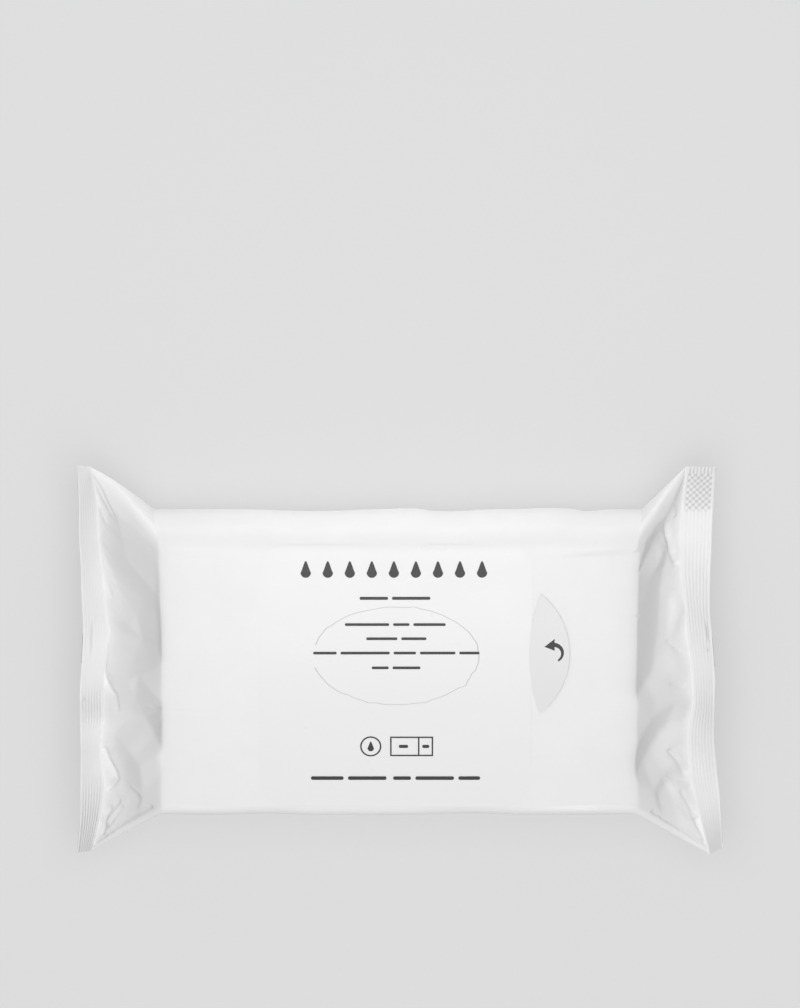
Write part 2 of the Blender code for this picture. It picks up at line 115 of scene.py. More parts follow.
# How the creases to the seal corners run: (share of the way out, inwards at -Y, inwards at +Y,
# sag at -Y, sag at +Y, swell of the side wall at +Y)
cornerRun = {
    -1: (
        (0.0, 0.0, 0.0, 0.0, 0.0, 0.0), (0.25, 0.3, 2.0, 0.6, 1.4, 1.0), (0.4, 0.6, 2.7, 0.9, 2.0, 1.6),
        (0.6, 0.8, 5.4, 0.9, 2.0, 1.8), (0.7, 0.7, 5.2, 0.7, 1.8, 1.6), (0.86, 0.3, 2.2, 0.3, 1.0, 0.9),
        (1.0, 0.0, 0.0, 0.0, 0.0, 0.0),
    ),
    1: (
        (0.0, 0.0, 0.0, 0.0, 0.0, 0.0), (0.23, 0.3, 2.0, 0.6, 1.2, 0.3), (0.46, 0.6, 4.2, 0.9, 1.6, 0.6),
        (0.6, 0.8, 6.4, 0.9, 1.8, 0.7), (0.71, 0.7, 6.3, 0.7, 1.6, 0.6), (0.86, 0.3, 3.6, 0.3, 0.8, 0.3),
        (1.0, 0.0, 0.0, 0.0, 0.0, 0.0),
    ),
}

# Creases of the film between the stack and each seal. Each point is (millimetres out from the
# stack's edge, y, height of the film off the plain panel), and each string of letters a crease.
panelFolds = {
    -1: {
        "points": {
            "A": (18.8, 58.0, 0.1), "B": (21.7, 54.2, 0.2), "C": (24.0, 48.0, 0.0),
            "D": (23.3, 59.0, -0.9), "E": (12.9, 41.7, 0.9), "F": (14.5, 51.0, 0.9),
            "G": (22.4, 33.0, -0.1), "H": (18.0, 27.5, -1.0), "I": (12.1, 19.7, -1.7),
            "J": (10.3, 10.3, -1.9), "K": (2.6, 9.4, -1.0), "L": (2.9, 14.0, -1.3),
            "M": (2.4, 29.0, -0.4), "N": (1.8, 44.5, 0.0), "O": (20.4, 16.3, -0.3),
            "P": (16.5, 19.7, -1.3), "Q": (14.7, 15.2, -0.8), "R": (18.8, 10.7, -1.1),
            "S": (21.3, -2.1, 0.9), "T": (18.4, -5.6, 0.9), "U": (14.3, -5.3, 0.6),
            "V": (9.2, -1.5, 0.4), "W": (3.3, 2.0, 0.2), "X": (12.9, -11.0, -1.6),
            "a": (22.6, -7.3, -0.1), "b": (21.4, -9.5, -0.3), "c": (20.0, -11.8, -0.6),
            "d": (19.8, -18.2, -0.8), "e": (14.7, -17.3, -2.2), "f": (9.6, -19.7, -2.6),
            "g": (5.5, -22.8, -1.9), "h": (0.6, -27.0, -0.2), "i": (19.5, -25.7, -1.0),
            "j": (22.8, -36.0, 0.0), "k": (18.4, -33.6, 0.0), "l": (13.6, -30.9, 0.8),
            "m": (9.2, -32.7, 0.8), "n": (1.8, -30.8, 0.6), "o": (21.8, -39.3, -0.4),
            "p": (20.8, -41.9, -0.8), "q": (20.0, -44.7, -1.0), "r": (17.3, -44.6, -1.2),
            "s": (13.6, -46.7, -0.6), "t": (8.1, -47.2, 0.3), "u": (8.0, -35.5, 1.3),
            "v": (21.0, -48.7, -0.8), "w": (16.5, -52.4, -0.7), "x": (14.0, -50.6, -0.7),
            "y": (9.6, -48.3, -0.5), "z": (18.4, -54.7, -1.5), "1": (19.5, -57.6, 0.0),
            "2": (22.4, -62.7, 0.2), "3": (24.6, -64.7, -0.6),
        },
        "creases": (
            "ABC", "DB", "GHIJKL", "OPIQR", "STUVW", "abcd", "TX", "defgh", "di", "jklmn", "jopqrst",
            "lut", "vwxy", "zw", "123", "EF", "LMN",
        ),
    },
    1: {
        "points": {
            "A": (3.7, 49.5, 0.3), "B": (9.9, 50.4, -1.6), "C": (15.1, 48.4, -1.3),
            "D": (14.7, 46.4, -0.9), "E": (10.7, 44.1, 0.3), "F": (8.8, 39.0, 0.4),
            "G": (6.0, 33.8, -0.5), "H": (4.5, 28.4, -0.4), "I": (13.6, 37.4, -1.5),
            "J": (13.0, 26.8, -2.2), "K": (12.2, 12.2, -2.2), "L": (10.3, -0.8, -2.1),
            "M": (6.5, -5.2, -2.0), "N": (0.4, -8.5, -0.2), "O": (15.4, 61.1, -1.0),
            "P": (15.1, 54.6, -1.3), "Q": (16.2, 42.6, -1.2), "R": (18.3, 37.8, -0.3),
            "S": (18.9, 20.9, 0.4), "T": (17.6, 23.2, -0.5), "U": (17.5, 16.3, -0.2),
            "V": (16.9, 6.9, -1.5), "W": (20.0, 11.5, -0.7), "X": (18.0, -1.4, 0.0),
            "Y": (16.2, -6.1, -1.0), "Z": (4.5, 12.5, -0.6),
            "4": (16.4, 24.5, -1.7), "5": (15.6, 8.0, -1.7), "6": (13.6, -3.6, -1.2),
            "a": (1.1, -10.0, 0.2), "b": (8.8, -10.9, -0.3), "c": (16.2, -13.3, 0.4),
            "d": (12.5, -15.1, 0.3), "e": (7.7, -18.0, 0.1), "f": (3.7, -23.0, 0.0),
            "g": (0.8, -27.5, 0.1), "h": (3.3, -36.5, -1.6), "i": (7.0, -35.0, -2.8),
            "j": (10.7, -31.5, -3.3), "k": (13.6, -27.5, -3.2), "l": (16.5, -23.7, -2.4),
            "m": (20.6, -23.5, -0.6), "n": (19.6, -27.8, -0.7), "o": (16.5, -35.3, -1.1),
            "p": (14.3, -42.4, -0.9), "q": (8.8, -46.1, -0.4), "r": (18.0, -33.4, -1.4),
            "s": (17.3, -38.4, -0.2), "t": (15.4, -43.7, -2.2), "u": (21.2, -45.1, -1.1),
            "v": (19.1, -48.8, -0.2), "w": (11.4, -48.6, -1.4), "x": (18.0, -53.4, -1.2),
            "y": (23.4, -61.6, 0.6), "z": (26.0, -67.2, 0.4), "1": (25.2, -62.0, -0.7),
        },
        "creases": (
            "ABC", "DEFGH", "IJKLMN", "OPCQR", "TSU", "UVW", "VX", "XY", "abc", "cdefg", "hijklm",
            "nopq", "qt", "sptu", "tvu", "qwx", "yz", "HZ", "456",
        ),
    },
}

# Narrow pleats: (height, half width, points of millimetres out from the stack's edge and y)
panelPleats = {
    -1: (
        (-1.2, 0.9, (23.6, -5.6), (20.2, -11.4), (19.8, -17.8)),
        (-1.5, 0.9, (24.0, -33.9), (20.8, -41.0), (20.0, -44.2), (22.6, -48.0)),
        (0.7, 0.8, (17.6, -53.4), (22.4, -62.5)),
        (-0.8, 0.8, (25.0, -67.0), (22.4, -56.4)),
        (-0.7, 0.7, (22.8, -64.1), (17.3, -55.4)),
        (-0.9, 0.8, (5.0, -52.4), (9.2, -55.8), (16.5, -61.6), (24.0, -68.2)),
        (-0.9, 1.0, (25.0, 70.0), (19.5, 60.4)),
        (0.6, 1.0, (23.4, 57.7), (21.6, 54.0)),
        (0.35, 0.8, (13.2, -45.8), (9.0, -48.2)),
        (-0.5, 0.6, (22.0, 27.6), (21.0, 25.0)),
        (-0.5, 0.6, (21.5, 12.4), (22.6, 6.0)),
        (-0.35, 0.5, (6.0, -13.2), (-1.0, -13.6)),
    ),
    1: (
        (-1.2, 0.9, (14.6, 63.0), (14.2, 55.5), (15.0, 47.6), (17.6, 37.9)),
        (0.6, 0.7, (16.6, 60.0), (16.8, 56.5)),
        (0.6, 0.7, (17.2, 41.6), (17.8, 39.0)),
        (0.7, 0.8, (23.2, -59.7), (27.6, -68.2)),
        (-1.0, 0.8, (26.1, -60.9), (28.7, -69.0)),
        (-0.9, 0.8, (8.0, -55.0), (12.1, -58.2), (18.4, -63.0), (26.6, -69.6)),
        (-1.2, 0.9, (16.9, -34.3), (21.7, -43.0)),
        (0.7, 0.8, (14.7, -43.8), (17.6, -46.3), (22.8, -47.4)),
        (-0.8, 0.8, (20.4, -50.0), (25.0, -58.0)),
        (-0.5, 0.7, (16.0, 8.0), (19.5, 4.0)),
        (-0.6, 0.7, (16.5, -7.5), (20.5, -9.0)),
        (-0.4, 0.7, (1.2, 22.0), (-3.0, 20.0)),
    ),
}
# Slots pressed into the seals: (y, millimetres out from the inner line, half length, half width, depth)
sealSlots = {-1: ((8.8, 7.6, 6.0, 0.6, 0.25), (-13.0, 9.4, 1.0, 0.7, 0.25)),
             1: ((12.2, 9.4, 3.6, 0.7, 0.35), (5.6, 9.0, 0.9, 0.6, 0.3))}

# How finely the film is drawn
drawn = {
    "columns": 236, "baseColumns": 61, "arc": 8, "straight": 8, "sealRows": 32,
    # rows over the end panels, as shares of the way out to the seal, then over the body in millimetres
    "panelFirst": (0.006, 0.013), "panelFrom": 0.0225, "panelTo": 0.985, "panelStep": 0.0155,
    "panelLast": 0.992,
    "bodyTo": 72.0, "bodyStep": 6.0, "nearEnd": (76.0, 79.0, 81.0, 82.4, 83.4, 84.1, 84.7, 85.1, 85.3),
    "foldGain": {-1: 1.4, 1: 1.65},  # times the heights in panelFolds
    "foldSoft": {-1: 5, 1: 12},  # smoothing passes that round the creases
    "baseSoft": 2,
    "wrinkle": {"depth": 0.32, "from": 0.35, "fade": 0.06, "across": 26.0, "outwards": 2.2},
    "endRounding": {-1: (24, 7), 1: (60, 9)},  # passes and rows that round the turn over the stack's ends
    "flatLength": 31.0, "flatHalf": 60.0,  # of the flattened panel, to keep the facets' shapes true
}


def smoothThrough(keys, places):  # values on smooth curves through keys of (place, value, value, ...)
    table = np.array(keys, float)
    at, values = table[:, 0], table[:, 1:]
    slopes = np.gradient(values, at, axis=0)
    places = np.clip(np.atleast_1d(places), at[0], at[-1])
    i = np.clip(np.searchsorted(at, places, side="right") - 1, 0, len(at) - 2)
    run = (at[i + 1] - at[i])[:, None]
    t = (places - at[i])[:, None] / run
    return (
        (2 * t**3 - 3 * t**2 + 1) * values[i] + (t**3 - 2 * t**2 + t) * slopes[i] * run
        + (3 * t**2 - 2 * t**3) * values[i + 1] + (t**3 - t**2) * slopes[i + 1] * run
    )


# Slack in the top face: (x, y, reach in x, reach in y, depth in mm). A short reach in y is a crease.
faceSlack = (
    (13.0, -31.7, 34.0, 0.8, 0.10), (-80.0, -13.5, 8.0, 0.7, 0.12), (72.0, 26.0, 14.0, 8.0, 0.30),
    (66.0, -2.0, 12.0, 9.0, -0.22), (-66.0, 24.0, 18.0, 9.0, 0.25), (-70.0, -38.0, 18.0, 9.0, 0.30),
    (70.0, -38.0, 20.0, 10.0, 0.35), (-12.0, -18.0, 40.0, 9.0, 0.10), (30.0, 36.0, 26.0, 7.0, 0.12),
    (-34.0, 8.0, 22.0, 12.0, -0.12), (-60.0, 47.0, 20.0, 4.0, 0.30), (6.0, 47.0, 22.0, 4.0, -0.20),
    (62.0, 46.0, 16.0, 5.0, 0.30),
)


def faceDents(x, y):
    depth = 0.0
    for placeX, placeY, reachX, reachY, deep in faceSlack:
        depth = depth + deep * np.exp(-((x - placeX) / reachX) ** 2 - ((y - placeY) / reachY) ** 2)
    return depth


def crownSlope(y):
    return 2.0 * pack["crown"] * y / pack["crownHalf"] ** 2


def faceEdge(side):  # where the crowned face meets the rounded long edge
    radius = pack["topRadius"][side]
    y = pack["halfWidth"] - radius
    for _ in range(4):
        y = pack["halfWidth"] - radius * (1.0 - math.sin(math.atan(crownSlope(y))))
    return y


def shoulderDroop(x):
    start, droop = pack["shoulder"][1 if np.mean(x) > 0 else -1]
    return droop * np.clip((np.abs(x) - start) / (pack["stackHalf"] - start), 0.0, 1.0) ** 2


def faceHeight(x, y):  # crowned top face, on over the rounded long edges
    y = np.asarray(y, float)
    along = np.minimum(1.0, np.abs(x) / pack["stackHalf"])
    height = pack["height"] - pack["crown"] * (y / pack["crownHalf"]) ** 2
    for side in (-1, 1):
        edge, radius = faceEdge(side), pack["topRadius"][side]
        lean = math.atan(crownSlope(edge))
        centreY = edge - radius * math.sin(lean)
        centreZ = pack["height"] - pack["crown"] * (edge / pack["crownHalf"]) ** 2 - radius * math.cos(lean)
        past = np.clip(side * y - centreY, 0.0, radius)
        height = np.where(side * y > edge, centreZ + np.sqrt(radius**2 - past**2), height)
    return height - pack["endFall"] * along**4 - faceDents(x, y) - shoulderDroop(x)


def baseHeight(y):  # on the table, but riding over the folded seam
    beside = np.maximum(-pack["seamStep"] - y, y - pack["seamWidth"] - pack["seamStep"])
    ramp = pack["seamThick"] * np.clip(1.0 - beside / pack["seamRamp"], 0.0, 1.0) ** 2
    return np.where(beside < -1e-6, 0.0, ramp)


def longSide(x, side):  # from the top face's edge down to the base's
    arc, radius = drawn["arc"], pack["topRadius"][side]
    edge = faceEdge(side)
    lean = math.atan(crownSlope(edge))
    turn = np.linspace(math.pi / 2 - lean, 0.0, arc + 1)[1:]
    tuck = np.linspace(0.0, math.pi / 2, arc + 1)[1:-1]
    centreY = edge - radius * math.sin(lean)
    along = min(1.0, abs(x) / pack["stackHalf"])
    top = pack["height"] - pack["crown"] * (edge / pack["crownHalf"]) ** 2 - pack["endFall"] * along**4
    upper = top - radius * math.cos(lean)
    y = np.concatenate([
        centreY + radius * np.cos(turn),
        np.full(drawn["straight"], pack["halfWidth"]),
        baseFlat + pack["baseRadius"] * np.cos(tuck),
    ])
    slack = (faceDents(x, side * edge) + shoulderDroop(x)) * np.sin(turn)
    z = np.concatenate([
        upper + radius * np.sin(turn) - slack,
        np.linspace(upper, pack["baseRadius"], drawn["straight"] + 1)[1:],
        pack["baseRadius"] * (1.0 - np.sin(tuck)),
    ])
    full = pack["height"] - pack["endFall"]
    y = y + pack["bulge"] * np.clip(1.0 - (2.0 * z / full - 1.0) ** 2, 0.0, 1.0)
    for place, dentSide, depth, halfWidth in sideDents:
        if dentSide == side:
            y = y - depth * max(0.0, 1.0 - ((x - place) / halfWidth) ** 2) ** 2
    return side * y, z


# Columns of film run the length of the pack: over the top, down +Y, under the base and up -Y.
sealY = np.linspace(-sealFlat, sealFlat, drawn["columns"])
sealY = sealY[sealY < knurl["from"]]
sealY = np.concatenate([sealY, np.arange(knurl["from"], sealFlat, knurl["pitch"] / 6), [sealFlat]])
seamEdges = (-pack["seamStep"], 0.0, pack["seamWidth"], pack["seamWidth"] + pack["seamStep"])
underY = np.unique(np.concatenate([np.linspace(-sealFlat, sealFlat, drawn["baseColumns"]), seamEdges]))
topY = np.where(sealY > 0, faceEdge(1), faceEdge(-1)) * sealY / sealFlat
baseY = np.interp(underY, (-sealFlat, seamEdges[0], seamEdges[3], sealFlat),
                  (-baseFlat, seamEdges[0], seamEdges[3], baseFlat))
topCount, baseCount = len(sealY), len(underY)
sideCount = 2 * drawn["arc"] - 1 + drawn["straight"]
around = np.arange(1, sideCount + 1) / (sideCount + 1)
cornerY = sealFlat + seal["cornerTuck"] * np.sin(math.pi * around)
cornerLayer = np.cos(math.pi * around)
loopY = np.concatenate([sealY, cornerY, underY[::-1], -cornerY[::-1]])
loopLayer = np.concatenate([np.ones(topCount), cornerLayer, -np.ones(baseCount), cornerLayer[::-1]])
loopPlace = loopY / seal["halfSpan"]
onTop = slice(0, topCount)
onWall = slice(topCount, topCount + sideCount)  # at +Y
onBase = slice(topCount + sideCount, topCount + sideCount + baseCount)
bowShare = np.abs(loopPlace) ** 4
bowShare[onWall] = (2.0 * around - 1.0) ** 2
bowShare[onBase.stop:] = (2.0 * around - 1.0) ** 2


def bodyLoop(x):
    sideY, sideZ = longSide(x, 1)
    otherY, otherZ = longSide(x, -1)
    y = np.concatenate([topY, sideY, baseY[::-1], otherY[::-1]])
    z = np.concatenate([faceHeight(x, topY), sideZ, baseHeight(baseY)[::-1], otherZ[::-1]])
    spread = pack["spread"] / pack["stackHalf"]
    fullX = x * (1.0 + spread * (1.0 - (z / pack["height"]) ** pack["spreadPower"]))
    return np.stack([fullX, y, z], 1)


def sealLine(end, y):  # points on the seal's inner line, and its tilt
    reach, lift, tilt, slide = smoothThrough(sealWaves[end], y / seal["halfSpan"]).T
    x = end * (pack["stackHalf"] + seal["reach"] + reach)
    return np.stack([x, y, seal["height"] + lift], 1), np.radians(tilt), slide


def sealLoop(end, outwards, closing=1.0):  # closing runs from 1, full thickness, to 0 at the cut edge
    inner, tilt, slide = sealLine(end, loopY)
    flatOut, flatUp = np.array((float(end), 0.0, 0.0)), np.array((0.0, 0.0, 1.0))
    out = flatOut * np.cos(tilt)[:, None] + flatUp * np.sin(tilt)[:, None]
    out[:, 1] += slide / seal["width"]
    above = flatUp * np.cos(tilt)[:, None] - flatOut * np.sin(tilt)[:, None]
    thick = np.full(len(loopY), seal["thick"] / 2)
    thick[(loopLayer < 0) & (loopY >= 0.0) & (loopY <= pack["seamWidth"])] += pack["seamThick"] / 2
    crimped = (outwards - seal["margin"]) / (seal["width"] - 2 * seal["margin"])
    crimp = pitShade = np.zeros(len(loopY))
    if 0.0 < crimped < 1.0:
        depth = seal["crimpDepth"] * smoothThrough(crimpStrength[end], loopPlace)[:, 0]
        crimp = depth * math.sin(crimped * seal["crimps"] * 2 * math.pi)
        # painted shade in the crimps' pits
        pitShade = crimp - 0.5 * depth
        if end == 1:
            patch = np.clip((loopY - knurl["from"]) / 2.0, 0.0, 1.0) * (loopY < knurl["to"])
            studs = np.sin((loopY - knurl["from"]) / knurl["pitch"] * 2 * math.pi)
            studs = studs * math.sin(outwards / knurl["pitch"] * 2 * math.pi)
            crimp = crimp * (1.0 - patch) + knurl["depth"] * patch * studs
            # painted shade in the knurl's pits, and over its patch
            pitShade = pitShade * (1.0 - patch) + patch * (0.3 * studs - knurl["clear"])
    for y, away, halfLength, halfWidth, depth in sealSlots[end]:
        near = np.exp(-((loopY - y) / halfLength) ** 4 - ((outwards - away) / halfWidth) ** 4)
        crimp = crimp - depth * near * closing
        # painted shade in the slots
        pitShade = pitShade - 0.6 * depth * near
    offset = loopLayer * thick * closing + crimp
    return inner + out * outwards + above * offset[:, None], pitShade


def foldGrid(folds, end, gain, shares, places):  # heights of the film, in flat facets between its creases
    length, half = drawn["flatLength"], drawn["flatHalf"]
    spots, heights, edges = [], [], []
    for out, y, height in folds["points"].values():
        share = out / 22.0  # a first guess, as the seal's reach depends on the place, and that on the share
        for _ in range(3):
            place = y / ((1.0 - share) * faceEdge(1 if y > 0 else -1) + share * seal["halfSpan"])
            share = out / (seal["reach"] + smoothThrough(sealWaves[end], place)[0][0])
        spots.append((min(share, 0.985) * length, place * half))
        heights.append(height * gain)
    names = list(folds["points"])
    for crease in folds["creases"]:
        edges += [(names.index(a), names.index(b)) for a, b in zip(crease, crease[1:])]
    for i in range(21):  # the panel's border keeps its plain height
        spots += [(0.0, (i / 10 - 1) * half), (length, (i / 10 - 1) * half)]
    for i in range(1, 8):
        spots += [(i / 8 * length, -half), (i / 8 * length, half)]
    heights += [0.0] * (len(spots) - len(heights))
    flat, _, faces, fromSpots, _, _ = delaunay_2d_cdt([Vector(s) for s in spots], edges, [], 0, 1e-4)
    level = [np.mean([heights[j] for j in origin]) if origin else 0.0 for origin in fromSpots]
    s, p = np.meshgrid(np.array(shares) * length, np.array(places) * half, indexing="ij")
    grid = np.zeros(s.shape)
    for a, b, c in faces:
        (ax, ay), (bx, by), (cx, cy) = flat[a], flat[b], flat[c]
        area = (bx - ax) * (cy - ay) - (cx - ax) * (by - ay)
        if abs(area) < 1e-9:
            continue
        u = ((s - ax) * (cy - ay) - (cx - ax) * (p - ay)) / area
        v = ((bx - ax) * (p - ay) - (s - ax) * (by - ay)) / area
        inside = (u >= -1e-6) & (v >= -1e-6) & (u + v <= 1 + 1e-6)
        grid[inside] = (level[a] + (level[b] - level[a]) * u + (level[c] - level[a]) * v)[inside]
    return grid


def softened(grid, passes):  # rounds the creases, keeping the grid's border
    for _ in range(passes):
        inner = grid.copy()
        inner[1:-1, 1:-1] = (
            grid[1:-1, 1:-1] * 4 + (grid[:-2, 1:-1] + grid[2:, 1:-1] + grid[1:-1, :-2] + grid[1:-1, 2:]) * 2
            + grid[:-2, :-2] + grid[:-2, 2:] + grid[2:, :-2] + grid[2:, 2:]
        ) / 16
        grid = inner
    return grid


def wrinkles(end, shares, places):  # fine pleats that run in from the seal
    fine = drawn["wrinkle"]
    grid = np.zeros((len(shares), len(places)))
    for i, share in enumerate(shares):
        strength = fine["depth"] * max(0.0, share - fine["from"]) ** 1.5
        strength *= min(1.0, (1.0 - share) / fine["fade"])
        for j, place in enumerate(places):
            spot = Vector((place * fine["across"], share * fine["outwards"], 7.3 * end))
            grid[i, j] = strength * noise.fractal(spot, 0.8, 2.0, 3)
    return grid


def pleats(end, shares, places):
    share, place = np.meshgrid(shares, places, indexing="ij")
    out = share * (seal["reach"] + smoothThrough(sealWaves[end], places)[:, 0][None, :])
    edge = np.where(place > 0, faceEdge(1), faceEdge(-1)) / sealFlat * seal["halfSpan"]
    y = place * (edge + (seal["halfSpan"] - edge) * share)
    grid = np.zeros(share.shape)
    for height, halfWidth, *points in panelPleats[end]:
        nearest = np.full(share.shape, 1e9)
        for (ax, ay), (bx, by) in zip(points, points[1:]):
            along = ((out - ax) * (bx - ax) + (y - ay) * (by - ay)) / ((bx - ax) ** 2 + (by - ay) ** 2)
            along = np.clip(along, 0.0, 1.0)
            away = np.hypot(out - ax - along * (bx - ax), y - ay - along * (by - ay))
            nearest = np.minimum(nearest, away)
        grid += height * np.exp(-((nearest / halfWidth) ** 2))
    fade = np.clip(share / 0.08, 0.0, 1.0) * np.clip((1.0 - share) / 0.03, 0.0, 1.0)
    return grid * fade * np.clip((1.0 - np.abs(place)) / 0.02 - 0.6, 0.0, 1.0)


def panelLoops(end, shares):
    inner = bodyLoop(end * pack["stackHalf"])
    outer = sealLoop(end, 0.0)[0]
    places = sealY / seal["halfSpan"]
    top = foldGrid(panelFolds[end], end, drawn["foldGain"][end], shares, places)
    top = softened(top, drawn["foldSoft"][end])
    top += wrinkles(end, shares, places) + pleats(end, shares, places)
    under = underY / seal["halfSpan"]
    base = softened(foldGrid(panelFolds[-end], -end, 1.0, shares, under), drawn["baseSoft"])
    slope = math.atan2(seal["height"], seal["reach"])
    upward = np.array((end * math.sin(slope), 0.0, math.cos(slope)))
    downward = np.array((end * math.sin(slope), 0.0, -math.cos(slope)))
    loops = []
    for i, share in enumerate(shares):
        loop = inner + (outer - inner) * share
        loop[onTop] += top[i][:, None] * upward
        loop[onBase] += base[i][::-1][:, None] * downward
        lower, upper, lowerSag, upperSag, swell = smoothThrough(cornerRun[end], share)[0]
        loop[:, 1] -= np.where(loopPlace > 0, upper, -lower) * bowShare
        loop[:, 2] -= np.where(loopPlace > 0, upperSag, lowerSag) * bowShare * np.sign(loopLayer)
        loop[onWall, 1] += swell * (1.0 - (2.0 * around - 1.0) ** 2)
        loops.append(loop)
    return loops


def filmGrid():
    panelMiddle = np.arange(drawn["panelFrom"], drawn["panelTo"], drawn["panelStep"])
    panelShares = np.concatenate([drawn["panelFirst"], panelMiddle, (drawn["panelLast"],)])
    sealPlaces = np.linspace(0.0, seal["width"], drawn["sealRows"])
    plain = np.zeros(len(loopY))
    panels = plain.copy()
    panels[onTop] = panels[onBase] = 1.0
    half = {}  # rows of points, the painted shade of their pits and slots, and the painted shade of the end panels
    for end in (-1, 1):
        half[end] = []
        for share, loop in zip(panelShares, panelLoops(end, panelShares)):
            # painted shade over the end panels, full in their middle and fading out beside the stack and the
            # seal
            panelShadeFade = min(1.0, share / 0.1) * min(1.0, (1.0 - share) / 0.1)
            half[end].append((loop, plain, panels * panelShadeFade))
        half[end] += [(*sealLoop(end, place), plain) for place in sealPlaces]
        half[end].append((*sealLoop(end, seal["width"] + 0.2, 0.0), plain))
    nearEnd = np.array(drawn["nearEnd"])
    middle = np.arange(-drawn["bodyTo"], drawn["bodyTo"] + 0.1, drawn["bodyStep"])
    body = [(bodyLoop(x), plain, plain) for x in np.concatenate([-nearEnd[::-1], middle, nearEnd])]
    return [np.array(part) for part in zip(*half[-1][::-1], *body, *half[1])]


def finishPiece(name, bm, material, smooth=True, sharpFrom=None):
    mesh = bpy.data.meshes.new(name)
    bm.to_mesh(mesh)
    bm.free()
    mesh.materials.append(material)
    if smooth:
        mesh.shade_smooth()
    if sharpFrom:
        mesh.set_sharp_from_angle(angle=math.radians(sharpFrom))
    piece = bpy.data.objects.new(name, mesh)
    bpy.context.scene.collection.objects.link(piece)
    return piece


print("stage: materials")


def linear(hexColour):
    channels = [int(hexColour[i:i + 2], 16) / 255 for i in (0, 2, 4)]
    return [c / 12.92 if c <= 0.04045 else ((c + 0.055) / 1.055) ** 2.4 for c in channels] + [1.0]


def addNode(tree, kind, inputs=None, **settings):  # an input is a value, or an output to link
    made = tree.nodes.new(kind)
    for name, value in settings.items():
        setattr(made, name, value)
    for name, value in (inputs or {}).items():
        if isinstance(value, bpy.types.NodeSocket):
            tree.links.new(value, made.inputs[name])
        else:
            made.inputs[name].default_value = value
    return made


def newMaterial(name):
    made = bpy.data.materials.new(name)
    made.use_nodes = True
    made.node_tree.nodes.clear()
    return made, made.node_tree


def perMetre(size):  # texture scale for a pattern of this size in millimetres
    return 1000.0 / size


# Polyester and polythene laminate, gravure printed white: satin, with a fine cockle from the wet wipes
filmFinish = {
    "whites": ("ECECEC", "EEEEEE"), "roughness": (0.38, 0.46),
    "cockleSize": 9.0, "cockleDepth": 0.05, "grainSize": 0.6, "grainDepth": 0.004,
    "panelShadeGrey": "E5E5E5",  # painted shade: the film over the end panels is drawn greyer
    "pitShadeGrey": "CACACA", "pitShadeDepth": 0.36,  # painted shade in the crimps' and the knurl's pits and in the slots
}


def filmMaterial():
    made, tree = newMaterial("printedLaminateFilm")
    at = addNode(tree, "ShaderNodeTexCoord").outputs["Object"]
    cockle = addNode(tree, "ShaderNodeTexNoise", {
        "Vector": at, "Scale": perMetre(filmFinish["cockleSize"]), "Detail": 3.0, "Roughness": 0.55})
    grain = addNode(tree, "ShaderNodeTexNoise", {
        "Vector": at, "Scale": perMetre(filmFinish["grainSize"]), "Detail": 2.0})
    tint = addNode(tree, "ShaderNodeMapRange", {
        "Value": cockle.outputs["Fac"], "From Min": 0.3, "From Max": 0.7, "To Min": 0.0, "To Max": 1.0})
    darker, lighter = filmFinish["whites"]
    white = addNode(tree, "ShaderNodeMix", {
        0: tint.outputs["Result"], 6: linear(darker), 7: linear(lighter)}, data_type="RGBA")
    # painted shade: the end panels are drawn greyer, where the turned film is shaded
    panelShade = addNode(tree, "ShaderNodeAttribute", attribute_name="panelShade")
    panelShaded = addNode(tree, "ShaderNodeMix", {
        0: panelShade.outputs["Fac"], 6: white.outputs[2], 7: linear(filmFinish["panelShadeGrey"])}, data_type="RGBA")
    # painted shade: the crimps' and the knurl's pits and the slots are drawn grey
    pitShade = addNode(tree, "ShaderNodeAttribute", attribute_name="pitShade")
    pit = addNode(tree, "ShaderNodeMapRange", {
        "Value": pitShade.outputs["Fac"], "From Min": 0.0, "From Max": -filmFinish["pitShadeDepth"]})
    colour = addNode(tree, "ShaderNodeMix", {
        0: pit.outputs["Result"], 6: panelShaded.outputs[2], 7: linear(filmFinish["pitShadeGrey"])}, data_type="RGBA")
    smoothest, roughest = filmFinish["roughness"]
    rough = addNode(tree, "ShaderNodeMapRange", {
        "Value": grain.outputs["Fac"], "From Min": 0.3, "From Max": 0.7,
        "To Min": smoothest, "To Max": roughest})
    cockled = addNode(tree, "ShaderNodeBump", {
        "Height": cockle.outputs["Fac"], "Strength": 1.0, "Distance": filmFinish["cockleDepth"] * mm})
    grained = addNode(tree, "ShaderNodeBump", {
        "Height": grain.outputs["Fac"], "Strength": 1.0, "Distance": filmFinish["grainDepth"] * mm,
        "Normal": cockled.outputs["Normal"]})
    shader = addNode(tree, "ShaderNodeBsdfPrincipled", {
        "Base Color": colour.outputs[2], "Roughness": rough.outputs["Result"],
        "Normal": grained.outputs["Normal"]})
    addNode(tree, "ShaderNodeOutputMaterial", {"Surface": shader.outputs["BSDF"]})
    return made


filmSkin = filmMaterial()

print("stage: film")


